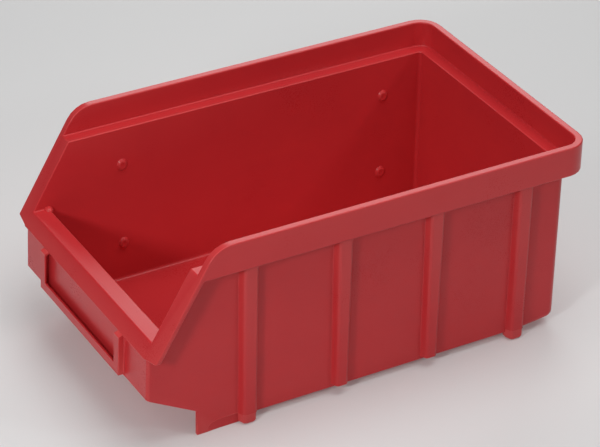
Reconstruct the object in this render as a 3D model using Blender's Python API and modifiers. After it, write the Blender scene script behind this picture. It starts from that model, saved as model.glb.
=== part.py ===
"""Small open-fronted stackable storage bin, moulded in one colour of plastic.

The moulding is modelled as its named regions: panels, ramp, lip, flanges, collar,
ledge, ribs, feet, label frame and pips, each a solid of its own.

Frame: the origin is at the centre of the footprint, on the surface the feet rest on.
+X is to the right of someone who looks in at the open front, +Y points to the back
wall and +Z up. The open front faces -Y.
"""

from math import atan2, cos, pi, radians, sin, sqrt, tan

import bmesh
import bpy
from mathutils import Vector

MM = 0.001

# Overall sizes
RIM_LENGTH = 165.0 * MM        # from the tip of the front flange to the back of the rim
RIM_WIDTH = 105.0 * MM
HEIGHT = 75.0 * MM
LABEL_PROUD = 3.2 * MM         # how far the label frame stands in front of the flange tip
FOOT_DEPTH = 2.5 * MM          # height of the floor's underside above the ground
WALL = 1.5 * MM
GAP = 0.3 * MM                 # clearance between neighbouring regions

# Rim: an upright collar on an inner ledge
COLLAR_HEIGHT = 11.1 * MM
COLLAR_WALL = 2.4 * MM
RIM_OVERHANG = 5.8 * MM        # outer wall face to the collar's outer face
COLLAR_RADIUS = 8.7 * MM       # rear corners, seen from above
NOSE_RADIUS = 10.0 * MM        # where the collar's top turns down to the front edge

# Slanted front edge
FLANGE_SLOPE = 1.70            # rise over run of the slanted edge
FLANGE_START = 35.75 * MM      # height of the slanted plane above the floor at the tip
FLANGE_WALL = 1.8 * MM
TIP_Z = 34.9 * MM              # lowest point of the flanges, above the floor's underside

# Front wall, ramp and lip
FRONT_TOP_Y = -0.3 * MM        # outer face of the front wall, from the flange tip
FRONT_BOTTOM_Y = -0.9 * MM
FRONT_TOP_Z = 33.5 * MM
FRONT_BOTTOM_Z = 18.3 * MM
RAMP_FOOT_Y = 30.3 * MM        # where the ramp's underside meets the floor's
LIP_TOP_Z = 38.8 * MM
LIP_BACK_Y = 7.7 * MM

# Ribs and feet
RIB_PROUD = 2.7 * MM
RIB_WIDTH = 5.7 * MM
RIB_TAPER = 0.5 * MM           # how much narrower a rib is at its lower end
RIB_FIRST_Y = 36.1 * MM
RIB_PITCH = 35.25 * MM
RIB_COUNT = 4
RIB_FOOT_Z = 1.6 * MM          # lower end of the ribs above the floor's underside
RIB_EDGE = 0.7 * MM
FOOT_INSET = 0.4 * MM
REAR_RIB_X = 22.0 * MM
SKIRT_FRONT_Y = 17.5 * MM

# Label frame on the front wall
LABEL_HALF = 30.2 * MM
LABEL_BAR = 3.5 * MM
LABEL_LIP = 1.0 * MM
LABEL_SPACER = 1.4 * MM

# Inner pips
PIP_RADIUS = 1.8 * MM
PIP_TIP_RADIUS = 1.1 * MM
PIP_HEIGHT = 0.7 * MM
PIP_HEIGHTS = (16.4 * MM, 48.5 * MM)

ARC_STEPS = 6
PLASTIC = (0.42, 0.018, 0.022, 1.0)

TIP_Y = -(RIM_LENGTH - LABEL_PROUD) / 2
REAR_Y = TIP_Y + RIM_LENGTH
FLOOR_Z = FOOT_DEPTH
RIM_TOP = HEIGHT - FOOT_DEPTH
COLLAR_FOOT = RIM_TOP - COLLAR_HEIGHT
LEDGE_TOP = COLLAR_FOOT + WALL
WALL_OUTER = RIM_WIDTH / 2 - RIM_OVERHANG
WALL_INNER = WALL_OUTER - WALL
COLLAR_OUTER = RIM_WIDTH / 2
COLLAR_INNER = COLLAR_OUTER - COLLAR_WALL
WALL_BACK = RIM_LENGTH - RIM_OVERHANG
WALL_RADIUS = COLLAR_RADIUS - RIM_OVERHANG
RAMP_SLOPE = FRONT_BOTTOM_Z / (RAMP_FOOT_Y - FRONT_BOTTOM_Y)
FLANGE_LIFT = sqrt(1 + FLANGE_SLOPE ** 2)
RAMP_LIFT = sqrt(1 + RAMP_SLOPE ** 2)
UPRIGHT_SIDE = (pi / 2, 0, pi / 2)   # turns an outline's x, y into the bin's y, z


def clear_scene():
    for old in list(bpy.data.objects):
        bpy.data.objects.remove(old, do_unlink=True)


def new_collection(name):
    collection = bpy.data.collections.new(name)
    bpy.context.scene.collection.children.link(collection)
    return collection


def plastic(name):
    material = bpy.data.materials.new(name)
    material.use_nodes = True
    shader = material.node_tree.nodes["Principled BSDF"]
    shader.inputs["Base Color"].default_value = PLASTIC
    shader.inputs["Roughness"].default_value = 0.38
    shader.inputs["Metallic"].default_value = 0.0
    material.diffuse_color = PLASTIC
    return material


def finish(piece, name, collection):
    piece.name = name
    piece.data.materials.append(plastic(name + "_plastic"))
    collection.objects.link(piece)
    return piece


def outline_solid(name, points, thickness, collection, at=(0, 0, 0), turn=(0, 0, 0)):
    """A flat outline filled on both sides, centred on its own plane, as a closed solid."""
    curve = bpy.data.curves.new(name, "CURVE")
    curve.dimensions = "2D"
    curve.fill_mode = "BOTH"
    curve.extrude = thickness / 2
    spline = curve.splines.new("POLY")
    spline.points.add(len(points) - 1)
    for point, (x, y) in zip(spline.points, points):
        point.co = (x, y, 0, 1)
    spline.use_cyclic_u = True
    piece = bpy.data.objects.new(name, curve)
    piece.location = at
    piece.rotation_euler = turn
    return finish(piece, name, collection)


def side_solid(name, points, x_low, x_high, collection):
    """An outline given as (distance behind the flange tip, height above the floor), run along X."""
    centre = ((x_low + x_high) / 2, TIP_Y, FLOOR_Z)
    return outline_solid(name, points, x_high - x_low, collection, centre, UPRIGHT_SIDE)


def plan_solid(name, points, z_low, z_high, collection):
    """An outline given as (x, distance behind the flange tip), run upwards."""
    centre = (0, TIP_Y, FLOOR_Z + (z_low + z_high) / 2)
    return outline_solid(name, points, z_high - z_low, collection, centre)


def block(name, low, high, collection, edge=0.0, top_extra=0.0):
    """A box from corner to corner, its top wider along Y by top_extra, with rounded edges."""
    size = Vector(high) - Vector(low)
    mesh = bpy.data.meshes.new(name)
    shape = bmesh.new()
    bmesh.ops.create_cube(shape, size=1.0)
    for vertex in shape.verts:
        vertex.co = Vector(a * b for a, b in zip(vertex.co, size))
        if vertex.co.z > 0:
            vertex.co.y += top_extra / 2 if vertex.co.y > 0 else -top_extra / 2
    shape.to_mesh(mesh)
    shape.free()
    piece = bpy.data.objects.new(name, mesh)
    piece.location = (Vector(low) + Vector(high)) / 2 + Vector((0, TIP_Y, FLOOR_Z))
    if edge:
        bevel = piece.modifiers.new("rounded_edges", "BEVEL")
        bevel.width = edge
        bevel.segments = 2
    return finish(piece, name, collection)


def arc(centre, radius, start, end, steps=ARC_STEPS):
    """Points on an arc, with angles in degrees, both ends included."""
    turns = [radians(start + (end - start) * i / steps) for i in range(steps + 1)]
    return [(centre[0] + radius * cos(t), centre[1] + radius * sin(t)) for t in turns]


def u_outline(half_width, back, radius, thickness, front):
    """A band seen from above, open to the front: two straight ends and rounded rear corners."""
    inner = max(radius - thickness, 0.2 * MM)
    corner_x = half_width - radius
    corner_y = back - radius
    inner_x = half_width - thickness - inner
    inner_y = back - thickness - inner
    outside = [(half_width, front)]
    outside += arc((corner_x, corner_y), radius, 0, 90)
    outside += arc((-corner_x, corner_y), radius, 90, 180)
    outside += [(-half_width, front)]
    inside = [(-half_width + thickness, front)]
    inside += arc((-inner_x, inner_y), inner, 180, 90)
    inside += arc((inner_x, inner_y), inner, 90, 0)
    inside += [(half_width - thickness, front)]
    return outside + inside


def slanted_y(z, behind=0.0):
    """Distance behind the tip of the slanted front plane at height z, set back by behind."""
    return (z - FLANGE_START + behind * FLANGE_LIFT) / FLANGE_SLOPE


def ramp_z(y, above=0.0):
    """Height of the ramp's underside at y, raised by above at right angles to it."""
    return (RAMP_FOOT_Y - y) * RAMP_SLOPE + above * RAMP_LIFT


def add_panels(bin_parts):
    panel_half = WALL_INNER - GAP
    corner = WALL_BACK - WALL_RADIUS - GAP
    floor_back = WALL_BACK - WALL - GAP
    floor_front = RAMP_FOOT_Y + GAP
    round_corner = WALL_RADIUS - WALL
    floor = [(panel_half, floor_front)]
    floor += arc((panel_half - round_corner, floor_back - round_corner), round_corner, 0, 90, 3)
    floor += arc((round_corner - panel_half, floor_back - round_corner), round_corner, 90, 180, 3)
    floor += [(-panel_half, floor_front)]
    plan_solid("floor_panel", floor, 0, WALL, bin_parts)

    front_inner = FRONT_BOTTOM_Y + WALL + GAP
    ramp = [
        (RAMP_FOOT_Y, 0),
        (RAMP_FOOT_Y, WALL),
        (RAMP_FOOT_Y + (WALL - WALL * RAMP_LIFT) / RAMP_SLOPE, WALL),
        (front_inner, ramp_z(front_inner, WALL)),
        (front_inner, ramp_z(front_inner)),
    ]
    side_solid("front_ramp", ramp, -panel_half, panel_half, bin_parts)

    front = [
        (FRONT_BOTTOM_Y, FRONT_BOTTOM_Z),
        (FRONT_BOTTOM_Y + WALL, ramp_z(FRONT_BOTTOM_Y + WALL)),
        (FRONT_TOP_Y + WALL, FRONT_TOP_Z - GAP),
        (FRONT_TOP_Y, FRONT_TOP_Z - GAP),
    ]
    side_solid("front_wall", front, -WALL_OUTER, WALL_OUTER, bin_parts)

    wall_front = FRONT_TOP_Y + WALL + GAP
    behind_flange = FLANGE_WALL + GAP
    wall_top = COLLAR_FOOT - GAP
    side = [
        (RAMP_FOOT_Y, 0),
        (corner, 0),
        (corner, wall_top),
        (slanted_y(wall_top, behind_flange), wall_top),
        (wall_front, FLANGE_START + wall_front * FLANGE_SLOPE - behind_flange * FLANGE_LIFT),
        (wall_front, ramp_z(wall_front)),
    ]
    side_solid("side_wall_right", side, WALL_INNER, WALL_OUTER, bin_parts)
    side_solid("side_wall_left", side, -WALL_OUTER, -WALL_INNER, bin_parts)

    rear = u_outline(WALL_OUTER, WALL_BACK, WALL_RADIUS, WALL, corner + GAP)
    plan_solid("rear_wall", rear, 0, wall_top, bin_parts)


def nose_arc():
    """The collar's front upper corner: the arc from the level top down to the slanted edge."""
    slant = atan2(FLANGE_SLOPE, 1)
    tangent = NOSE_RADIUS * tan(slant / 2)
    centre = (slanted_y(RIM_TOP) + tangent, RIM_TOP - NOSE_RADIUS)
    return arc(centre, NOSE_RADIUS, 90, 90 + slant * 180 / pi)


def add_rim(bin_parts):
    corner = RIM_LENGTH - COLLAR_RADIUS
    collar = [(corner - GAP, COLLAR_FOOT), (corner - GAP, RIM_TOP)]
    collar += nose_arc()
    collar += [(slanted_y(COLLAR_FOOT), COLLAR_FOOT)]
    side_solid("collar_right", collar, COLLAR_INNER, COLLAR_OUTER, bin_parts)
    side_solid("collar_left", collar, -COLLAR_OUTER, -COLLAR_INNER, bin_parts)
    back = u_outline(COLLAR_OUTER, RIM_LENGTH, COLLAR_RADIUS, COLLAR_WALL, corner)
    plan_solid("collar_rear", back, COLLAR_FOOT, RIM_TOP, bin_parts)

    ledge_outer = COLLAR_INNER - GAP
    ledge_width = ledge_outer - WALL_INNER
    ledge_corner = WALL_BACK - WALL_RADIUS
    ledge = [
        (slanted_y(COLLAR_FOOT), COLLAR_FOOT),
        (ledge_corner - GAP, COLLAR_FOOT),
        (ledge_corner - GAP, LEDGE_TOP),
        (slanted_y(LEDGE_TOP), LEDGE_TOP),
    ]
    side_solid("ledge_right", ledge, WALL_INNER, ledge_outer, bin_parts)
    side_solid("ledge_left", ledge, -ledge_outer, -WALL_INNER, bin_parts)
    ledge_back = RIM_LENGTH - COLLAR_WALL - GAP
    ledge_radius = COLLAR_RADIUS - COLLAR_WALL - GAP
    back = u_outline(ledge_outer, ledge_back, ledge_radius, ledge_width, ledge_corner)
    plan_solid("ledge_rear", back, COLLAR_FOOT, LEDGE_TOP, bin_parts)


def add_front_edge(bin_parts):
    top = COLLAR_FOOT - GAP
    flange = [
        (slanted_y(TIP_Z), TIP_Z),
        (slanted_y(TIP_Z, FLANGE_WALL), TIP_Z),
        (slanted_y(top, FLANGE_WALL), top),
        (slanted_y(top), top),
    ]
    side_solid("edge_flange_right", flange, WALL_INNER, COLLAR_OUTER, bin_parts)
    side_solid("edge_flange_left", flange, -COLLAR_OUTER, -WALL_INNER, bin_parts)

    under_lip = LIP_TOP_Z - WALL
    lip = [
        (slanted_y(FRONT_TOP_Z), FRONT_TOP_Z),
        (slanted_y(LIP_TOP_Z), LIP_TOP_Z),
        (LIP_BACK_Y, LIP_TOP_Z),
        (LIP_BACK_Y, under_lip),
        (slanted_y(under_lip, FLANGE_WALL), under_lip),
        (slanted_y(FRONT_TOP_Z, FLANGE_WALL), FRONT_TOP_Z),
    ]
    lip_half = WALL_INNER - GAP
    side_solid("front_lip", lip, -lip_half, lip_half, bin_parts)


def add_ribs_and_feet(bin_parts):
    inner = WALL_OUTER + GAP
    outer = WALL_OUTER + RIB_PROUD
    foot_outer = outer - FOOT_INSET
    top = COLLAR_FOOT - GAP
    half = (RIB_WIDTH - RIB_TAPER) / 2
    foot_half = half - FOOT_INSET
    for index in range(RIB_COUNT):
        y = RIB_FIRST_Y + index * RIB_PITCH
        number = index + 1
        right = ((inner, y - half, RIB_FOOT_Z), (outer, y + half, top))
        left = ((-outer, y - half, RIB_FOOT_Z), (-inner, y + half, top))
        block(f"side_rib_right_{number}", *right, bin_parts, RIB_EDGE, RIB_TAPER)
        block(f"side_rib_left_{number}", *left, bin_parts, RIB_EDGE, RIB_TAPER)
    last_y = RIB_FIRST_Y + (RIB_COUNT - 1) * RIB_PITCH
    foot_top = RIB_FOOT_Z - GAP
    for place, y in (("front", RIB_FIRST_Y), ("rear", last_y)):
        right = ((inner, y - foot_half, -FOOT_DEPTH), (foot_outer, y + foot_half, foot_top))
        left = ((-foot_outer, y - foot_half, -FOOT_DEPTH), (-inner, y + foot_half, foot_top))
        block(f"stacking_foot_right_{place}", *right, bin_parts, FOOT_INSET)
        block(f"stacking_foot_left_{place}", *left, bin_parts, FOOT_INSET)
    back_in = WALL_BACK + GAP
    back_out = WALL_BACK + RIB_PROUD
    for side, x in (("right", REAR_RIB_X), ("left", -REAR_RIB_X)):
        low = (x - RIB_WIDTH / 2, back_in, RIB_FOOT_Z)
        high = (x + RIB_WIDTH / 2, back_out, top)
        block(f"rear_rib_{side}", low, high, bin_parts, RIB_EDGE)


def add_skirts(bin_parts):
    end = RIB_FIRST_Y + RIB_WIDTH / 2
    skirt = [
        (SKIRT_FRONT_Y, ramp_z(SKIRT_FRONT_Y, -GAP)),
        (SKIRT_FRONT_Y, -FOOT_DEPTH),
        (end, -FOOT_DEPTH),
        (end, -GAP),
        (RAMP_FOOT_Y, -GAP),
    ]
    side_solid("stacking_skirt_right", skirt, WALL_INNER, WALL_OUTER, bin_parts)
    side_solid("stacking_skirt_left", skirt, -WALL_OUTER, -WALL_INNER, bin_parts)


def front_y(z):
    """Outer face of the slightly leaning front wall at height z."""
    share = (z - FRONT_BOTTOM_Z) / (FRONT_TOP_Z - FRONT_BOTTOM_Z)
    return FRONT_BOTTOM_Y + share * (FRONT_TOP_Y - FRONT_BOTTOM_Y)


def add_label_frame(bin_parts):
    """Three L-shaped bars: a spacer against the wall, and a lip that a card slides behind."""
    bottom = FRONT_BOTTOM_Z
    face = -LABEL_PROUD
    slot = face + LABEL_LIP
    back = FRONT_BOTTOM_Y - GAP
    bar = [
        (face, bottom),
        (back, bottom),
        (back, bottom + LABEL_SPACER),
        (slot, bottom + LABEL_SPACER),
        (slot, bottom + LABEL_BAR),
        (face, bottom + LABEL_BAR),
    ]
    side_solid("label_frame_bottom", bar, -LABEL_HALF, LABEL_HALF, bin_parts)

    side_bottom = bottom + LABEL_BAR + GAP
    side_top = FRONT_TOP_Z - GAP
    back = front_y(side_bottom) - GAP
    for side, sign in (("right", 1), ("left", -1)):
        outer = sign * LABEL_HALF
        spacer = sign * (LABEL_HALF - LABEL_SPACER)
        inner = sign * (LABEL_HALF - LABEL_BAR)
        bar = [(outer, face), (outer, back), (spacer, back), (spacer, slot), (inner, slot), (inner, face)]
        plan_solid(f"label_frame_{side}", bar, side_bottom, side_top, bin_parts)


def add_pips(bin_parts):
    last_y = RIB_FIRST_Y + (RIB_COUNT - 1) * RIB_PITCH
    face = WALL_INNER - GAP - PIP_HEIGHT / 2
    for side, sign in (("right", 1), ("left", -1)):
        number = 0
        for y in (RIB_FIRST_Y, last_y):
            for z in PIP_HEIGHTS:
                number += 1
                name = f"inner_pip_{side}_{number}"
                mesh = bpy.data.meshes.new(name)
                shape = bmesh.new()
                bmesh.ops.create_cone(
                    shape,
                    cap_ends=True,
                    segments=20,
                    radius1=PIP_RADIUS,
                    radius2=PIP_TIP_RADIUS,
                    depth=PIP_HEIGHT,
                )
                shape.to_mesh(mesh)
                shape.free()
                mesh.shade_smooth()
                mesh.set_sharp_from_angle(angle=radians(35))
                pip = bpy.data.objects.new(name, mesh)
                pip.location = (sign * face, TIP_Y + y, FLOOR_Z + z)
                pip.rotation_euler = (0, -sign * pi / 2, 0)
                finish(pip, name, bin_parts)


def main():
    clear_scene()
    bin_parts = new_collection("stackable_storage_bin")
    add_panels(bin_parts)
    add_rim(bin_parts)
    add_front_edge(bin_parts)
    add_ribs_and_feet(bin_parts)
    add_skirts(bin_parts)
    add_label_frame(bin_parts)
    add_pips(bin_parts)


main()
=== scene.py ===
"""Looks of the stackable storage bin: one continuous red moulding with its fillets,
a procedural moulded-plastic material, a pale floor and soft studio light."""

from math import atan2, cos, degrees, pi, radians, sin, sqrt, tan

import bmesh
import bpy
from mathutils import Matrix, Vector


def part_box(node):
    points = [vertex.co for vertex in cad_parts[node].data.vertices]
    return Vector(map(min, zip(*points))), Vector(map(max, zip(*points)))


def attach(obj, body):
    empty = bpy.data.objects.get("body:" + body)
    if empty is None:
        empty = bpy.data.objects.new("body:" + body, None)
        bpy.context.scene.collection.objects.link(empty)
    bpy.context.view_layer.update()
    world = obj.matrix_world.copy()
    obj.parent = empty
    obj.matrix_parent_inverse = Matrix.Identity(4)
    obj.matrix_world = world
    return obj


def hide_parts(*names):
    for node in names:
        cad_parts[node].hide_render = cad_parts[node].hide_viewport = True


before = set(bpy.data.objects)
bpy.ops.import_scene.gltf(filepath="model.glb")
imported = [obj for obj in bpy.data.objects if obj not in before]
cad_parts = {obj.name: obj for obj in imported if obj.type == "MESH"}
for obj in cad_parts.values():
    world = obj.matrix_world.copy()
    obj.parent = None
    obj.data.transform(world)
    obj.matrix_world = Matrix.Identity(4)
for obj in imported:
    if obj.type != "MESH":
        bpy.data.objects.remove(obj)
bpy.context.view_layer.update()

MM = 0.001

# ---------------------------------------------------------------- camera
CAMERA_TARGET = Vector((0.0, 0.00112, 0.03823))
CAMERA_AZIMUTH = 59.943
CAMERA_ELEVATION = 31.786
CAMERA_ROLL = 1.131
CAMERA_DISTANCE = 0.9253
CAMERA_LENS = 160.575
CAMERA_SENSOR = 36.0
CAMERA_CLIP = (0.01, 20)

# ---------------------------------------------------------------- shape, in millimetres
ARC_ANGLE = 15.0  # largest turn of one segment of a rounded corner, in degrees
WELD = 0.002  # points nearer than this are merged
FLAT_ANGLE = 0.4  # neighbouring faces that turn less than this, in degrees, become one
NEAR = 0.01  # slack when edges are picked by where they lie

# the tub
SLANT = 1.70  # rise over run of the slanted front edge
FLANGE_THICK = 1.8
WALL = 1.5
NOSE_RADIUS = 10.0
COLLAR_RADIUS = 8.1  # this and the next were read off the photo again; the CAD has 8.7 and 2.4
COLLAR_WALL = 2.75
WALL_RADIUS = 2.9
CAVITY_RADIUS = 1.2
FLOOR_FILLET = 1.2
RAMP_BLEND = 10.0
FRONT_EDGE_RADIUS = 1.3
REAR_FOOT_RADIUS = 3.2
DRAFT = 0.0045  # share of the width that the walls lose from rim to floor
BAND_CORNER = (0.6, 0.3)  # run and rise of the corner cut under each end of the slanted band
BAND_INSET = 1.0  # how far the flanges reach in past the walls' inner faces
BAND_FRONT = 1.0  # extra thickness on the front of the band, which the front cut takes off
INNER_FRONT_TOP = (0.2, 0.5)  # top of the inner front wall: shift back, height over the band's foot

# how far the tub, the band and the ribs run up into the rim
TUB_INTO_RIM = 0.7
BAND_INTO_RIM = 0.6
RIB_INTO_RIM = 0.5

# how far the cutting solids run past the moulding
CUT_FRONT = 20.0  # and above it
CUT_SIDE = 5.0
CAVITY_FRONT = 12.0
CAVITY_TOP = 10.0
STEP_CUT_OUT = 6.0
STEP_CUT_DOWN = 3.0
CUT_LOW = 2.0  # the front cut starts this far over the foot of the front wall

# the ribs and the stacking feet
RIB_EDGE = 1.35
RIB_TAPER = 0.17
RIB_TAPER_FOOTED = 0.04
RIB_FILLET = 0.6
RIB_FLANK = 69.0  # lean of a rib's flanks, in degrees from the plane of the wall
RIB_SUNK = 0.03
RIB_ROOT = 0.8  # how far a rib reaches into the wall behind its fillet
RIB_END_EDGE = 0.5  # share of a ring's inset that its edge rounding loses
# inset of the ring, height over the rib's lower end
RIB_END = ((0.3, 0.0), (0.02, 0.0), (-0.07, 0.06), (-0.1, 0.16), (-0.07, 0.27), (0.0, 0.36))
FOOT_CLEAR = 0.03  # the feet end a hair above the skirts beside them
FOOT_INSET = 0.06
FOOT_OVERLAP = 1.0  # how far a foot reaches up behind the rib over it
# inset of the ring, height over the foot's lower end
FOOT_ROUNDING = ((1.2, 0.0), (0.75, 0.09), (0.4, 0.32), (0.12, 0.75), (0.0, 1.25))

# the faint step round the feet and the skirts, and the bead along its top
LINE_ABOVE_FLOOR = 1.55
STEP_DEPTH = 0.3
# run back from the bin's front tip, height over the floor's underside, share of the depth
STEP_COURSE = (
    (22.2, -0.2, 0.06),
    (23.2, 0.7, 0.3),
    (24.8, 1.3, 0.7),
    (26.5, 1.5, 0.95),
    (28, 1.55, 1.0),
    (37, 1.55, 1.0),
)
# edges that belong to the step: how far behind the tip, inside the wall's outer face, over the
# ground and over the line
STEP_ZONE = (21, 38)
STEP_ZONE_INSIDE = 1.0
STEP_ZONE_LOW = 0.5
STEP_ZONE_HIGH = 0.1
STEP_EDGE = 0.1  # full radius of the step's outer edge
STEP_EDGE_RUN = (22, 5)  # it grows from this far behind the tip, over this run
BEAD_RADIUS = 0.2
BEAD_END = 34.5  # behind the tip
BEAD_THIN = 0.35  # share of its radius that the bead has where the step fades out
BEAD_PROUD = 0.75  # height of the bead for its half width
BEAD_TURNS = 10

# the swellings at the ends of the lip: half sizes, and how far in from wall, back edge and top
NUB_SIZE = (1.9, 1.6, 1.3)
NUB_INSET = (0.6, 0.4, 0.3)
NUB_RINGS = 12
NUB_TURNS = 24

# the label frame
LABEL_SPACER = 1.4  # width of the strip under a bar's lip, outside the card slot
LABEL_LIP = 0.55
LABEL_ROUND = 0.28
LABEL_INNER_ROUND = LABEL_ROUND * 0.7
LABEL_FLARE = 0.7
LABEL_FLARE_SUNK = 0.02
LABEL_TOP_FLARE = 0.15  # share of the flare that is left at the top of each bar
LABEL_ROOT = 0.3
# how far in from a bar's inner edge and how high over the wall its foot runs where it is solid
LABEL_SOLID_FOOT = ((0.0, 0.2), (0.05, -0.25), (0.1, -0.3))
LABEL_RISE = 0.5  # top of the bars over the lower edge of the slanted band, at the wall
LABEL_SLOPE = 0.4  # fall of the bar tops for each millimetre forward
LABEL_CLOSED = 0.9  # the bars are solid down to this far under their tops
LABEL_OPEN = 0.95  # and from here down they overhang the card slot

# radius and height over the wall of each ring of an inner pip
PIP_PROFILE = (
    (2.2, -0.25),
    (1.95, 0.05),
    (1.72, 0.3),
    (1.5, 0.62),
    (1.2, 0.8),
    (0.8, 0.74),
    (0.4, 0.66),
)
PIP_TALL = 1.2  # height of a pip for its width
PIP_TURNS = 28

# rounding and shading of edges
PIECE_SHARP = 48.0  # on the small pieces, edges that turn more than this, in degrees, stay sharp
SOFT_FROM = 24.0  # on the moulding, edges that turn more than this are rounded
SOFT_WIDEST = 0.6
HOLLOW_EDGE = 0.5
RIM_EDGE = 0.5  # on edges this near to the rim's top:
RIM_NEAR = 0.2
PROUD_EDGE = 0.4

# ---------------------------------------------------------------- looks
PLASTIC_RED = (0.61, 0.0325, 0.038, 1.0)
PLASTIC_DEEP = (0.575, 0.029, 0.035, 1.0)
PLASTIC_WARM = (0.63, 0.0365, 0.038, 1.0)
# paler red painted on proud edges as a highlight
PLASTIC_EDGE_HIGHLIGHT = (0.74, 0.115, 0.11, 1.0)
PLASTIC_ROUGH = 0.3
PLASTIC_IOR = 1.37

# noise scales, roughly in blotches per metre
CLOUD_SCALE = 34.0
FLOW_SCALE = 60.0
GRAIN_SCALE = 2600.0
RIPPLE_SCALE = 110.0
FLOW_STRETCH = (1.0, 0.35, 1.6)

FLOW_SHARE = 0.35  # most of the warm red that the flow marks mix in
FLOW_FROM = 0.35
FLOW_TO = 0.75
EDGE_HIGHLIGHT_SHARE = 0.6  # most of the painted highlight, a paler red on proud edges, reached over this span of pointiness
EDGE_HIGHLIGHT_FROM = 0.515
EDGE_HIGHLIGHT_TO = 0.6
CLOUD_GLOSS = 0.03
GRAIN_GLOSSY = 0.02
GRAIN_MATT = 0.03
FINE_BUMP = (0.07, 0.02)  # strength, height in millimetres
SLOW_BUMP = (0.35, 0.12)

# name, azimuth, elevation, distance in metres, size in metres, watts
LIGHTS = (
    ("front_key", 33, 28.5, 0.55, (0.06, 0.06), 0.74),
    ("side_key", 125, 33, 0.7, (0.06, 0.06), 0.34),
    ("high_soft_box", 48, 63, 0.42, (0.28, 0.28), 0.18),
    ("front_fill", -5, 48, 0.6, (0.2, 0.2), 0.26),
    ("back_card", 240, 33, 0.8, (0.5, 0.36), 1.7),
    ("top_soft_box", 150, 80, 0.7, (0.5, 0.5), 2.4),
)
LIGHT_AIM = (0, 0, 0.03)
WORLD_LIGHT = 0.03
FLOOR_ALBEDO = 0.68
FLOOR_ROUGH = 0.9
FLOOR_GLOW = 0.1
FLOOR_REACH = 4.0


def mm_box(node):
    """Lowest and highest corner of a CAD node in millimetres."""
    low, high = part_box(node)
    return low / MM, high / MM


# ================================================================ mesh helpers
def arc(centre, radius, start, end):
    """Points on an arc from one angle to another, in degrees, both ends included."""
    steps = max(2, round(abs(end - start) / ARC_ANGLE))
    turns = [radians(start + (end - start) * i / steps) for i in range(steps + 1)]
    return [(centre[0] + radius * cos(t), centre[1] + radius * sin(t)) for t in turns]


def rounded(points, radii):
    """A closed outline whose corners are rounded, each by its own radius."""
    result = []
    count = len(points)
    for i, (here, radius) in enumerate(zip(points, radii)):
        here = Vector(here)
        if radius <= 0:
            result.append(tuple(here))
            continue
        to_last = (Vector(points[i - 1]) - here).normalized()
        to_next = (Vector(points[(i + 1) % count]) - here).normalized()
        half = to_last.angle(to_next) / 2
        reach = radius / tan(half)
        first = here + to_last * reach
        centre = here + (to_last + to_next).normalized() * (radius / sin(half))
        turn = pi - 2 * half
        steps = max(2, round(degrees(turn) / ARC_ANGLE))
        sign = 1 if to_last.x * to_next.y - to_last.y * to_next.x < 0 else -1
        for step in range(steps + 1):
            spun = Matrix.Rotation(sign * turn * step / steps, 2) @ (first - centre)
            result.append(tuple(centre + spun))
    return result


def solid(name, verts, faces):
    """A new object from points in millimetres and faces as lists of point numbers."""
    mesh = bpy.data.meshes.new(name)
    shape = bmesh.new()
    made = [shape.verts.new(v) for v in verts]
    for face in faces:
        shape.faces.new([made[i] for i in face])
    bmesh.ops.recalc_face_normals(shape, faces=shape.faces)
    shape.to_mesh(mesh)
    shape.free()
    piece = bpy.data.objects.new(name, mesh)
    bpy.context.scene.collection.objects.link(piece)
    return piece


def loft(name, rings):
    """A closed solid through rings of the same number of points, capped at both ends."""
    count = len(rings[0])
    verts = [point for ring in rings for point in ring]
    faces = [list(range(count))]
    faces.append([(len(rings) - 1) * count + i for i in range(count)])
    for r in range(len(rings) - 1):
        for i in range(count):
            j = (i + 1) % count
            here = r * count
            there = here + count
            faces.append([here + i, here + j, there + j, there + i])
    return solid(name, verts, faces)


def side_run(name, outline, x_low, x_high):
    """A side outline of (y, z) points run along X."""
    return loft(name, [[(x, y, z) for y, z in outline] for x in (x_low, x_high)])


def plan_run(name, outline, z_low, z_high):
    """A plan outline of (x, y) points run upwards."""
    return loft(name, [[(x, y, z) for x, y in outline] for z in (z_low, z_high)])


def combine(base, tools, operation):
    """Base with each tool joined to it, or cut from it, as plain mesh."""
    for tool in tools:
        step = base.modifiers.new("step", "BOOLEAN")
        step.operation = operation
        step.solver = "EXACT"
        step.object = tool
    bpy.context.view_layer.update()
    graph = bpy.context.evaluated_depsgraph_get()
    mesh = bpy.data.meshes.new_from_object(base.evaluated_get(graph))
    base.modifiers.clear()
    base.data = mesh
    for tool in tools:
        bpy.data.objects.remove(tool, do_unlink=True)
    tidy(base.data)
    return base


def tidy(mesh):
    """Merges doubled points, joins flat neighbours and deletes flaps that hang on by one edge."""
    shape = bmesh.new()
    shape.from_mesh(mesh)
    bmesh.ops.remove_doubles(shape, verts=shape.verts, dist=WELD)
    bmesh.ops.dissolve_limit(
        shape,
        angle_limit=radians(FLAT_ANGLE),
        verts=shape.verts,
        edges=shape.edges,
        delimit=set(),
    )
    flaps = []
    for face in shape.faces:
        shared = [len(edge.link_faces) for edge in face.edges]
        if min(shared) == 1 and max(shared) > 2:
            flaps.append(face)
    bmesh.ops.delete(shape, geom=flaps, context="FACES")
    shape.to_mesh(mesh)
    shape.free()


# ================================================================ sizes from the CAD
floor_low, floor_high = mm_box("floor_panel")
wall_low, wall_high = mm_box("side_wall_right")
collar_low, collar_high = mm_box("collar_right")
_, ledge_high = mm_box("ledge_right")
flange_low, _ = mm_box("edge_flange_right")
front_low, front_high = mm_box("front_wall")
_, ramp_high = mm_box("front_ramp")
lip_low, lip_high = mm_box("front_lip")
_, rear_high = mm_box("rear_wall")
_, rim_high = mm_box("collar_rear")
skirt_low, skirt_high = mm_box("stacking_skirt_right")
frame_bottom_low, _ = mm_box("label_frame_bottom")
frame_side_low, frame_side_high = mm_box("label_frame_right")

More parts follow.
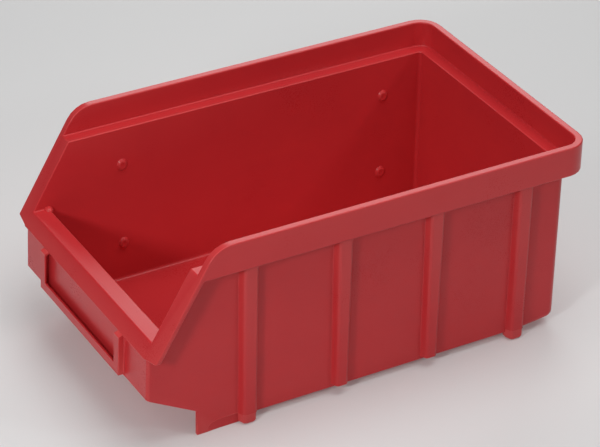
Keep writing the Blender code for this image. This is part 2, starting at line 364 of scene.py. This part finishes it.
WALL_OUT = wall_high.x
WALL_IN = wall_low.x
RIM_OUT = collar_high.x
RIM_IN = RIM_OUT - COLLAR_WALL
RIM_FOOT = collar_low.z
RIM_TOP = collar_high.z
LEDGE_TOP = ledge_high.z
RIM_BACK = rim_high.y
WALL_BACK = rear_high.y
FLOOR_UNDER = floor_low.z
FLOOR_TOP = floor_high.z
TIP = (flange_low.y, flange_low.z)
LIP_TOP = lip_high.z
LIP_BACK = lip_high.y
FASCIA_FOOT = lip_low.z
FRONT_FOOT = front_low.z
FRONT_Y = front_low.y
FRONT_TOP_Y = front_high.y - WALL
RAMP_FOOT = ramp_high.y
RAMP_RUN = RAMP_FOOT - FRONT_Y
RAMP_RISE = FRONT_FOOT - FLOOR_UNDER
GROUND = skirt_low.z
LINE = FLOOR_UNDER + LINE_ABOVE_FLOOR
SLANT_LENGTH = sqrt(1 + SLANT ** 2)


def slanted_y(z, behind=0.0):
    """Y of the slanted front plane at height z, set back by behind at right angles."""
    return TIP[0] + (z - TIP[1] + behind * SLANT_LENGTH) / SLANT


# ================================================================ shapes
def build_moulding():
    """The tub, its rim and the slanted band as one solid with open front and top, in millimetres."""
    tub = tub_block()
    round_uprights(tub, WALL_RADIUS, at_back=True)
    round_uprights(tub, FRONT_EDGE_RADIUS, at_back=False)
    # its inside is cut later
    rim = plan_run("rim", rim_plan(RIM_OUT, flange_low.y, RIM_BACK, COLLAR_RADIUS), RIM_FOOT, RIM_TOP)
    combine(tub, [rim, slanted_plate()], "UNION")
    combine(tub, step_cuts(), "DIFFERENCE")
    combine(tub, [front_cut()], "DIFFERENCE")
    combine(tub, [main_cavity(), rim_cavity()], "DIFFERENCE")
    return tub


def rim_plan(half, front, back, radius):
    """A plan that is square in front and has rounded corners at the back."""
    corners = [(half, front), (half, back), (-half, back), (-half, front)]
    return rounded(corners, [0, radius, radius, 0])


def tub_block():
    """Outside of the tub, solid, with the stacking skirts under the side walls."""
    top = RIM_FOOT + TUB_INTO_RIM
    rise = RAMP_RISE / RAMP_RUN
    front = skirt_low.y
    back = skirt_high.y
    on_ramp = (front, FLOOR_UNDER + (RAMP_FOOT - front) * rise)
    foot = rounded(
        [(WALL_BACK, top), (WALL_BACK, FLOOR_UNDER), (back, FLOOR_UNDER)],
        [0, REAR_FOOT_RADIUS, 0],
    )
    start = [(FRONT_TOP_Y, top), (FRONT_TOP_Y, FASCIA_FOOT), (FRONT_Y, FRONT_FOOT), on_ramp]
    end = list(reversed(foot))
    skirted = start + [(front, GROUND), (back, GROUND)] + end
    plain = start + [on_ramp, (RAMP_FOOT, FLOOR_UNDER)] + end
    rings = []
    for x, outline in (
        (-WALL_OUT, skirted),
        (-WALL_IN, skirted),
        (-WALL_IN, plain),
        (WALL_IN, plain),
        (WALL_IN, skirted),
        (WALL_OUT, skirted),
    ):
        rings.append([(x, y, z) for y, z in outline])
    block = loft("moulding", rings)
    shape = bmesh.new()
    shape.from_mesh(block.data)
    bmesh.ops.remove_doubles(shape, verts=shape.verts, dist=WELD)
    bmesh.ops.dissolve_degenerate(shape, dist=WELD, edges=shape.edges)
    bmesh.ops.recalc_face_normals(shape, faces=shape.faces)
    shape.to_mesh(block.data)
    shape.free()
    tidy(block.data)
    return block


def round_uprights(piece, radius, at_back):
    """Rounds the upright corners at the back of the piece, or else those at its front."""
    shape = bmesh.new()
    shape.from_mesh(piece.data)
    chosen = []
    for edge in shape.edges:
        a, b = (v.co for v in edge.verts)
        if abs(a.x - b.x) > NEAR:
            continue
        if at_back:
            outside = abs(a.x) > WALL_OUT - NEAR
            wanted = outside and min(a.y, b.y) > WALL_BACK - REAR_FOOT_RADIUS - NEAR
        else:
            wanted = max(a.y, b.y) < FRONT_TOP_Y + NEAR
        if wanted:
            chosen.append(edge)
    bmesh.ops.bevel(
        shape,
        geom=chosen,
        offset=radius,
        offset_type="OFFSET",
        segments=6,
        profile=0.5,
        affect="EDGES",
        clamp_overlap=False,
    )
    shape.to_mesh(piece.data)
    shape.free()


def slanted_plate():
    """The slanted band: two flanges and, between them, the fascia. front_cut trims its front later."""
    top = RIM_FOOT + BAND_INTO_RIM
    inner = WALL_IN - BAND_INSET
    corner_run, corner_rise = BAND_CORNER
    outline = [
        (RIM_OUT, flange_low.z),
        (RIM_OUT, top),
        (inner, top),
        (inner, LIP_TOP),
        (-inner, LIP_TOP),
        (-inner, top),
        (-RIM_OUT, top),
        (-RIM_OUT, flange_low.z),
        (-WALL_OUT, FASCIA_FOOT + corner_rise),
        (-WALL_OUT + corner_run, FASCIA_FOOT),
        (WALL_OUT - corner_run, FASCIA_FOOT),
        (WALL_OUT, FASCIA_FOOT + corner_rise),
    ]
    rings = []
    for behind in (-BAND_FRONT, FLANGE_THICK):
        rings.append([(x, slanted_y(z, behind), z) for x, z in outline])
    return loft("slanted_plate", rings)


# each takes how far a point stands out from its wall, where it is along the wall, and its height
def on_right(out, along, z):
    return (WALL_OUT + out, along, z)


def on_left(out, along, z):
    return (-WALL_OUT - out, along, z)


def on_rear(out, along, z):
    return (along, WALL_BACK + out, z)


def rib_ring(put, centre, half, proud, z, inset=0.0):
    """Plan of a rib at height z, rounded outside, with leaning flanks and filleted to its wall."""
    crown = proud - inset
    edge = RIB_EDGE - max(0.0, inset) * RIB_END_EDGE
    foot = RIB_FILLET
    turn = radians(RIB_FLANK)
    shoulder = half - inset - edge
    flank = (crown + RIB_SUNK - (edge + foot) * (1 - cos(turn))) / sin(turn)
    base = shoulder + (edge + foot) * sin(turn) + flank * cos(turn)
    points = [(-RIB_SUNK - RIB_ROOT, -base)]
    points += arc((foot - RIB_SUNK, -base), foot, 180, 180 - RIB_FLANK)
    points += arc((crown - edge, -shoulder), edge, -RIB_FLANK, 0)
    points += arc((crown - edge, shoulder), edge, 0, RIB_FLANK)
    points += arc((foot - RIB_SUNK, base), foot, 180 + RIB_FLANK, 180)
    points.append((-RIB_SUNK - RIB_ROOT, base))
    return [put(out, centre + along, z) for out, along in points]


def rib(name, put, centre, half, low_half, proud, low, high):
    """A rib that narrows downwards and ends in a small rounding."""
    rings = []
    for inset, lift in RIB_END:
        rings.append(rib_ring(put, centre, low_half, proud, low + lift, inset))
    rings.append(rib_ring(put, centre, half, proud, high))
    return finish_small(loft(name, rings))


def foot_ring(put, centre, half, proud, z, inset):
    """Plan of a stacking foot at height z, like a rib's but with no fillet."""
    crown = proud - inset
    edge = RIB_EDGE
    turn = radians(RIB_FLANK)
    shoulder = half - inset - edge
    base = shoulder + edge * sin(turn) + (crown - edge * (1 - cos(turn))) / tan(turn)
    points = [(-WALL, -base), (0.0, -base)]
    points += arc((crown - edge, -shoulder), edge, -RIB_FLANK, 0)
    points += arc((crown - edge, shoulder), edge, 0, RIB_FLANK)
    points += [(0.0, base), (-WALL, base)]
    return [put(out, centre + along, z) for out, along in points]


def stacking_foot(name, put, centre, half, proud):
    """A foot under a rib, a hair slimmer than the rib and rounded at its lower end."""
    rings = []
    for inset, lift in FOOT_ROUNDING:
        z = GROUND + FOOT_CLEAR + lift
        rings.append(foot_ring(put, centre, half, proud, z, FOOT_INSET + inset))
    rings.append(foot_ring(put, centre, half, proud, LINE + FOOT_OVERLAP, FOOT_INSET))
    return finish_small(loft(name, rings))


def finish_small(piece):
    """Smooth shading with flat faces kept flat, for pieces modelled with their own roundings."""
    to_metres(piece)
    piece.data.shade_smooth()
    piece.data.set_sharp_from_angle(angle=radians(PIECE_SHARP))
    normals = piece.modifiers.new("flat_faces", "WEIGHTED_NORMAL")
    normals.keep_sharp = True
    return piece


def add_ribs(plastic):
    """Outer ribs, and stacking feet under the first and the last rib of each side."""
    top = RIM_FOOT + RIB_INTO_RIM
    for side, put in (("left", on_left), ("right", on_right)):
        for number in (1, 2, 3, 4):
            node = f"side_rib_{side}_{number}"
            low, high = mm_box(node)
            centre = (low.y + high.y) / 2
            half = (high.y - low.y) / 2
            proud = max(abs(low.x), abs(high.x)) - WALL_OUT
            footed = number in (1, 4)
            low_half = half * (1 - (RIB_TAPER_FOOTED if footed else RIB_TAPER))
            piece = rib("outer_" + node, put, centre, half, low_half, proud, LINE, top)
            place(piece, plastic, [node])
            if footed:
                foot = f"stacking_foot_{side}_" + ("front" if number == 1 else "rear")
                piece = stacking_foot("rounded_" + foot, put, centre, low_half, proud)
                place(piece, plastic, [foot])
    for side in ("left", "right"):
        node = f"rear_rib_{side}"
        low, high = mm_box(node)
        centre = (low.x + high.x) / 2
        half = (high.x - low.x) / 2
        proud = high.y - WALL_BACK
        low_half = half * (1 - RIB_TAPER)
        piece = rib("outer_" + node, on_rear, centre, half, low_half, proud, low.z, top)
        place(piece, plastic, [node])


def mirrored(rings):
    """The same rings on the other side of the bin."""
    return [[(-x, y, z) for x, y, z in ring] for ring in rings]


def step_cuts():
    """Takes a thin layer off each skirt's outer face below a line that fades out towards the front."""
    rings = []
    for behind_tip, lift, share in STEP_COURSE:
        y = TIP[0] + behind_tip
        inner = WALL_OUT - STEP_DEPTH * share
        top = FLOOR_UNDER + lift
        outer = WALL_OUT + STEP_CUT_OUT
        under = GROUND - STEP_CUT_DOWN
        rings.append([(inner, y, under), (inner, y, top), (outer, y, top), (outer, y, under)])
    return [loft("step_cut", rings), loft("step_cut", mirrored(rings))]


def lip_nub(side):
    """The small rounded swelling where the back edge of the lip runs into a side wall."""
    sign = 1 if side == "right" else -1
    from_wall, from_back, from_top = NUB_INSET
    centre = Vector((sign * (WALL_IN - from_wall), LIP_BACK - from_back, LIP_TOP - from_top))
    rings = []
    for i in range(1, NUB_RINGS):
        lean = pi * i / NUB_RINGS
        ring = []
        for j in range(NUB_TURNS):
            turn = 2 * pi * j / NUB_TURNS
            ring.append(
                (
                    centre.x + NUB_SIZE[0] * sin(lean) * cos(turn),
                    centre.y + NUB_SIZE[1] * cos(lean),
                    centre.z + NUB_SIZE[2] * sin(lean) * sin(turn),
                )
            )
        rings.append(ring)
    return finish_small(loft(f"lip_nub_{side}", rings))


def parting_bead(side):
    """The raised line along the top of the step on a skirt."""
    sign = 1 if side == "right" else -1
    path = []
    for behind_tip, lift, share in STEP_COURSE[:-1]:
        path.append((TIP[0] + behind_tip, FLOOR_UNDER + lift, share))
    path.append((TIP[0] + BEAD_END, LINE, 1.0))
    rings = []
    for i, (y, z, share) in enumerate(path):
        before = path[max(i - 1, 0)]
        after = path[min(i + 1, len(path) - 1)]
        along = Vector((after[0] - before[0], after[1] - before[1])).normalized()
        size = BEAD_RADIUS * (BEAD_THIN + (1 - BEAD_THIN) * share)
        ring = []
        for turn in range(BEAD_TURNS):
            angle = 2 * pi * turn / BEAD_TURNS
            up = size * cos(angle) + size
            out = size * BEAD_PROUD * sin(angle)
            ring.append((sign * (WALL_OUT + out), y - along.y * up, z + along.x * up))
        rings.append(ring)
    return finish_small(loft(f"parting_line_{side}", rings))


def front_cut():
    """Everything in front of the slanted edge and the rounded nose of the collar."""
    slant = atan2(SLANT, 1)
    centre = (slanted_y(RIM_TOP) + NOSE_RADIUS * tan(slant / 2), RIM_TOP - NOSE_RADIUS)
    nose = arc(centre, NOSE_RADIUS, 90 + degrees(slant), 90)
    low = FRONT_FOOT + CUT_LOW
    high = RIM_TOP + CUT_FRONT
    front = slanted_y(low) - CUT_FRONT
    outline = [(slanted_y(low), low)] + nose
    outline += [(nose[-1][0], high), (front, high), (front, low)]
    return side_run("front_cut", outline, -RIM_OUT - CUT_SIDE, RIM_OUT + CUT_SIDE)


def main_cavity():
    """The inside of the tub, open to the top and over the lip."""
    lift = WALL / cos(atan2(RAMP_RISE, RAMP_RUN))
    inner_y = FRONT_Y + WALL
    ramp_start = (inner_y, FLOOR_UNDER + (RAMP_FOOT - inner_y) * RAMP_RISE / RAMP_RUN + lift)
    ramp_end = (RAMP_FOOT + (lift - WALL) * RAMP_RUN / RAMP_RISE, FLOOR_TOP)
    front_back, front_up = INNER_FRONT_TOP
    under = LIP_TOP - WALL
    back = WALL_BACK - WALL
    front = TIP[0] - CAVITY_FRONT
    high = RIM_TOP + CAVITY_TOP
    outline = rounded(
        [
            (front, LIP_TOP),
            (LIP_BACK, LIP_TOP),
            (LIP_BACK, under),
            (slanted_y(under, FLANGE_THICK), under),
            (inner_y + front_back, FASCIA_FOOT + front_up),
            ramp_start,
            ramp_end,
            (back, FLOOR_TOP),
            (back, high),
            (front, high),
        ],
        [0, 0, 0, 0, 0, 0, RAMP_BLEND, 0, 0, 0],
    )
    cavity = side_run("cavity", outline, -WALL_IN, WALL_IN)
    shape = bmesh.new()
    shape.from_mesh(cavity.data)
    weights = shape.edges.layers.float.new("bevel_weight_edge")
    floor_edges = []
    upright_edges = []
    for edge in shape.edges:
        a, b = (v.co for v in edge.verts)
        on_side = abs(abs(a.x) - WALL_IN) < NEAR and abs(a.x - b.x) < NEAR
        low = max(a.z, b.z) <= ramp_start[1] + NEAR
        at_back = min(a.y, b.y) > back - NEAR
        if at_back and on_side and max(a.z, b.z) > FLOOR_TOP + 1:
            upright_edges.append(edge)
        elif low and (on_side or at_back):
            floor_edges.append(edge)
    for edge in floor_edges:
        edge[weights] = 1.0
    for edge in upright_edges:
        edge[weights] = CAVITY_RADIUS / FLOOR_FILLET
    shape.to_mesh(cavity.data)
    shape.free()
    bevel = cavity.modifiers.new("fillet", "BEVEL")
    bevel.limit_method = "WEIGHT"
    bevel.width = FLOOR_FILLET
    bevel.segments = 6
    bevel.use_clamp_overlap = False
    return cavity


def rim_cavity():
    """The inside of the rim, over the ledge."""
    wall = RIM_OUT - RIM_IN
    outline = rim_plan(RIM_IN, TIP[0] - CAVITY_FRONT, RIM_BACK - wall, COLLAR_RADIUS - wall)
    return plan_run("rim_cavity", outline, LEDGE_TOP, RIM_TOP + CAVITY_TOP)


def label_frame():
    """A U of bars on the front wall that follows the wall's lean, its lip overhanging a card slot."""
    half = frame_side_high.x
    bar = frame_side_high.x - frame_side_low.x
    bottom = frame_bottom_low.z
    proud = FRONT_Y - frame_bottom_low.y
    lean = (FRONT_TOP_Y - FRONT_Y) / (FASCIA_FOOT - FRONT_FOOT)
    lip_back = proud - LABEL_LIP
    # distance in from the outer edge and height over the wall, with a flared foot outside
    inner_round = LABEL_INNER_ROUND
    profile = arc((-LABEL_FLARE, LABEL_FLARE - LABEL_FLARE_SUNK), LABEL_FLARE, 270, 360)
    profile += arc((LABEL_ROUND, proud - LABEL_ROUND), LABEL_ROUND, 180, 90)
    profile += arc((bar - inner_round, proud - inner_round), inner_round, 90, 0)
    outer_foot = (-LABEL_FLARE, -LABEL_ROOT)
    solid_foot = [(bar - inwards, rise) for inwards, rise in LABEL_SOLID_FOOT] + [outer_foot]
    slot_foot = [(bar, lip_back), (LABEL_SPACER, lip_back), (LABEL_SPACER, -LABEL_ROOT), outer_foot]
    closed = profile + solid_foot
    profile += slot_foot
    narrow = [(max(u, -LABEL_FLARE * LABEL_TOP_FLARE), out) for u, out in closed]
    tops = ((narrow, 0.0), (closed, LABEL_CLOSED), (profile, LABEL_OPEN))
    top = FASCIA_FOOT + LABEL_RISE

    def at(x, z, out):
        return (x, FRONT_Y + (z - FRONT_FOOT) * lean - out, z)

    rings = []
    for points, drop in tops:
        rings.append([at(-half + u, top - drop - LABEL_SLOPE * out, out) for u, out in points])
    rings.append([at(-half + u, bottom + u, out) for u, out in profile])
    rings.append([at(half - u, bottom + u, out) for u, out in profile])
    for points, drop in reversed(tops):
        rings.append([at(half - u, top - drop - LABEL_SLOPE * out, out) for u, out in points])
    return finish_small(loft("label_frame", rings))


def inner_pip(node):
    """Small dished boss on an inner side wall."""
    low, high = mm_box(node)
    centre = (low + high) / 2
    sign = 1 if centre.x > 0 else -1
    rings = []
    for radius, height in PIP_PROFILE:
        ring = []
        for i in range(PIP_TURNS):
            turn = 2 * pi * i / PIP_TURNS
            along = radius * cos(turn)
            rise = radius * PIP_TALL * sin(turn)
            ring.append((sign * (WALL_IN - height), centre.y + along, centre.z + rise))
        rings.append(ring)
    return finish_small(loft("dished_" + node, rings))


def edge_radius(edge, turn):
    """Radius in millimetres that an edge gets, from where it lies. Hollow edges turn below 0."""
    a, b = (v.co / MM for v in edge.verts)
    middle = (a + b) / 2
    behind_tip = middle.y - TIP[0]
    outside = abs(middle.x) > WALL_OUT - STEP_ZONE_INSIDE
    beside = STEP_ZONE[0] < behind_tip < STEP_ZONE[1] and outside
    if beside and GROUND + STEP_ZONE_LOW < middle.z < LINE + STEP_ZONE_HIGH:
        start, run = STEP_EDGE_RUN
        return 0.0 if turn < 0 else STEP_EDGE * min(1, max(0, (behind_tip - start) / run))
    if turn < 0:
        return HOLLOW_EDGE
    if abs(middle.z - RIM_TOP) < RIM_NEAR:
        return RIM_EDGE
    return PROUD_EDGE


def soften(piece):
    """Rounds every sharp edge of the moulding, by the radius that suits it."""
    shape = bmesh.new()
    shape.from_mesh(piece.data)
    weights = shape.edges.layers.float.get("bevel_weight_edge")
    if weights is None:
        weights = shape.edges.layers.float.new("bevel_weight_edge")
    for edge in shape.edges:
        edge[weights] = 0.0
        if len(edge.link_faces) != 2:
            continue
        turn = edge.calc_face_angle_signed()
        if abs(turn) < radians(SOFT_FROM):
            continue
        edge[weights] = edge_radius(edge, turn) / SOFT_WIDEST
    shape.to_mesh(piece.data)
    shape.free()
    bevel = piece.modifiers.new("softened_edges", "BEVEL")
    bevel.limit_method = "WEIGHT"
    bevel.width = SOFT_WIDEST * MM
    bevel.segments = 3
    bevel.use_clamp_overlap = False
    bevel.miter_outer = "MITER_SHARP"
    even_normals(piece)


def even_normals(piece):
    """Smooth shading that leaves the flat faces flat."""
    piece.data.shade_smooth()
    normals = piece.modifiers.new("flat_faces", "WEIGHTED_NORMAL")
    normals.keep_sharp = False


def to_metres(piece):
    """Turns millimetres into metres, and draws the walls in towards the floor."""
    for vertex in piece.data.vertices:
        x, y, z = vertex.co
        drop = max(0.0, RIM_FOOT - z) / (RIM_FOOT - FLOOR_UNDER)
        vertex.co = Vector((x * (1 - DRAFT * drop), y, z)) * MM


# ================================================================ material
def moulded_plastic(name):
    """Opaque red plastic: cloudy pigment, satin skin with fine grain, and a painted highlight of paler
    red on proud edges.
    """
    material = bpy.data.materials.new(name)
    material.use_nodes = True
    tree = material.node_tree
    nodes = tree.nodes
    shader = nodes["Principled BSDF"]

    def node(kind, **values):
        made = nodes.new(kind)
        for key, value in values.items():
            setattr(made, key, value)
        return made

    def noise(scale, detail, roughness=0.5, stretch=None):
        made = node("ShaderNodeTexNoise")
        made.inputs["Scale"].default_value = scale
        made.inputs["Detail"].default_value = detail
        made.inputs["Roughness"].default_value = roughness
        if stretch:
            mapping = node("ShaderNodeMapping")
            mapping.inputs["Scale"].default_value = stretch
            tree.links.new(where.outputs["Object"], mapping.inputs["Vector"])
            tree.links.new(mapping.outputs["Vector"], made.inputs["Vector"])
        else:
            tree.links.new(where.outputs["Object"], made.inputs["Vector"])
        return made.outputs["Fac"]

    def ranged(value, low, high, start=0.3, end=0.7):
        made = node("ShaderNodeMapRange", clamp=True)
        made.inputs["From Min"].default_value = start
        made.inputs["From Max"].default_value = end
        made.inputs["To Min"].default_value = low
        made.inputs["To Max"].default_value = high
        tree.links.new(value, made.inputs["Value"])
        return made.outputs["Result"]

    def add(first, second):
        made = node("ShaderNodeMath", operation="ADD")
        tree.links.new(first, made.inputs[0])
        tree.links.new(second, made.inputs[1])
        return made.outputs["Value"]

    def mixed(factor, first, second):
        made = node("ShaderNodeMix", data_type="RGBA")
        tree.links.new(factor, made.inputs["Factor"])
        for socket, colour in ((made.inputs[6], first), (made.inputs[7], second)):
            if isinstance(colour, tuple):
                socket.default_value = colour
            else:
                tree.links.new(colour, socket)
        return made.outputs[2]

    where = node("ShaderNodeTexCoord")
    shape = node("ShaderNodeNewGeometry")

    clouds = noise(CLOUD_SCALE, detail=3.0)
    flow = noise(FLOW_SCALE, detail=2.0, stretch=FLOW_STRETCH)
    grain = noise(GRAIN_SCALE, detail=3.0, roughness=0.6)
    ripple = noise(RIPPLE_SCALE, detail=2.0)

    pigment = mixed(ranged(clouds, 0.0, 1.0), PLASTIC_DEEP, PLASTIC_RED)
    pigment = mixed(ranged(flow, 0.0, FLOW_SHARE, FLOW_FROM, FLOW_TO), pigment, PLASTIC_WARM)
    # painted highlight: paler red on proud edges, picked out by pointiness
    edges = ranged(shape.outputs["Pointiness"], 0.0, EDGE_HIGHLIGHT_SHARE, EDGE_HIGHLIGHT_FROM, EDGE_HIGHLIGHT_TO)
    pigment = mixed(edges, pigment, PLASTIC_EDGE_HIGHLIGHT)
    tree.links.new(pigment, shader.inputs["Base Color"])

    gloss = add(
        ranged(clouds, -CLOUD_GLOSS, CLOUD_GLOSS),
        ranged(grain, PLASTIC_ROUGH - GRAIN_GLOSSY, PLASTIC_ROUGH + GRAIN_MATT),
    )
    tree.links.new(gloss, shader.inputs["Roughness"])
    shader.inputs["IOR"].default_value = PLASTIC_IOR

    fine = node("ShaderNodeBump")
    fine.inputs["Strength"].default_value = FINE_BUMP[0]
    fine.inputs["Distance"].default_value = FINE_BUMP[1] * MM
    tree.links.new(grain, fine.inputs["Height"])
    slow = node("ShaderNodeBump")
    slow.inputs["Strength"].default_value = SLOW_BUMP[0]
    slow.inputs["Distance"].default_value = SLOW_BUMP[1] * MM
    tree.links.new(ripple, slow.inputs["Height"])
    tree.links.new(fine.outputs["Normal"], slow.inputs["Normal"])
    tree.links.new(slow.outputs["Normal"], shader.inputs["Normal"])
    return material


# ================================================================ scene
def add_camera():
    """A camera from the fit to the photo: round its target, then rolled about its own axis."""
    azimuth = radians(CAMERA_AZIMUTH)
    elevation = radians(CAMERA_ELEVATION)
    roll = radians(CAMERA_ROLL)
    back = Vector((sin(azimuth) * cos(elevation), -cos(azimuth) * cos(elevation), sin(elevation)))
    right = Vector((cos(azimuth), sin(azimuth), 0))
    up = back.cross(right)
    cam_x = right * cos(roll) + up * sin(roll)
    cam_y = up * cos(roll) - right * sin(roll)
    data = bpy.data.cameras.new("camera")
    data.lens = CAMERA_LENS
    data.sensor_width = CAMERA_SENSOR
    data.clip_start, data.clip_end = CAMERA_CLIP
    camera = bpy.data.objects.new("camera", data)
    pose = Matrix((cam_x, cam_y, back)).transposed().to_4x4()
    pose.translation = CAMERA_TARGET + back * CAMERA_DISTANCE
    camera.matrix_world = pose
    bpy.context.scene.collection.objects.link(camera)
    bpy.context.scene.camera = camera


def add_area(name, at, aim, size, power):
    """A white area light at one point, turned to another."""
    data = bpy.data.lights.new(name, "AREA")
    data.shape = "RECTANGLE"
    data.size, data.size_y = size
    data.energy = power
    light = bpy.data.objects.new(name, data)
    light.location = at
    light.rotation_euler = (Vector(aim) - Vector(at)).to_track_quat("-Z", "Y").to_euler()
    bpy.context.scene.collection.objects.link(light)


def add_floor():
    """A pale paper floor that glows faintly."""
    mesh = bpy.data.meshes.new("floor")
    shape = bmesh.new()
    bmesh.ops.create_grid(shape, x_segments=1, y_segments=1, size=FLOOR_REACH)
    shape.to_mesh(mesh)
    shape.free()
    floor = bpy.data.objects.new("floor", mesh)
    bpy.context.scene.collection.objects.link(floor)
    material = bpy.data.materials.new("floor_paper")
    material.use_nodes = True
    shader = material.node_tree.nodes["Principled BSDF"]
    shader.inputs["Base Color"].default_value = (FLOOR_ALBEDO, FLOOR_ALBEDO, FLOOR_ALBEDO, 1)
    shader.inputs["Roughness"].default_value = FLOOR_ROUGH
    shader.inputs["Emission Color"].default_value = (1, 1, 1, 1)
    shader.inputs["Emission Strength"].default_value = FLOOR_GLOW
    mesh.materials.append(material)


def around(azimuth, elevation, distance):
    """A place round the bin. Azimuth 0 is in front of it and 90 on its right."""
    turn = radians(azimuth)
    lift = radians(elevation)
    return Vector((sin(turn) * cos(lift), -cos(turn) * cos(lift), sin(lift))) * distance


def add_light():
    """A faint white world and the lights of the table at the top."""
    world = bpy.data.worlds.new("studio")
    bpy.context.scene.world = world
    world.use_nodes = True
    background = world.node_tree.nodes["Background"]
    background.inputs["Color"].default_value = (1, 1, 1, 1)
    background.inputs["Strength"].default_value = WORLD_LIGHT
    for name, azimuth, elevation, distance, size, power in LIGHTS:
        add_area(name, around(azimuth, elevation, distance), LIGHT_AIM, size, power)


def place(piece, material, nodes):
    """Gives a piece its material and body, and hides the CAD nodes that it stands in for."""
    piece.data.name = piece.name
    piece.data.materials.append(material)
    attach(piece, "root")
    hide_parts(*nodes)


def main():
    bpy.context.scene.view_settings.view_transform = "Standard"
    add_camera()
    add_floor()
    add_light()
    plastic = moulded_plastic("moulded_plastic")
    separate = ("inner_pip", "label_frame", "side_rib", "stacking_foot", "rear_rib")

    body = build_moulding()
    to_metres(body)
    soften(body)
    body.name = "bin_moulding"
    place(body, plastic, [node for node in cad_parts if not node.startswith(separate)])

    label_nodes = [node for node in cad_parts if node.startswith("label_frame")]
    place(label_frame(), plastic, label_nodes)

    add_ribs(plastic)
    for side in ("left", "right"):
        place(parting_bead(side), plastic, [f"stacking_skirt_{side}"])
        place(lip_nub(side), plastic, ["front_lip"])
    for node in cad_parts:
        if node.startswith("inner_pip"):
            place(inner_pip(node), plastic, [node])


main()
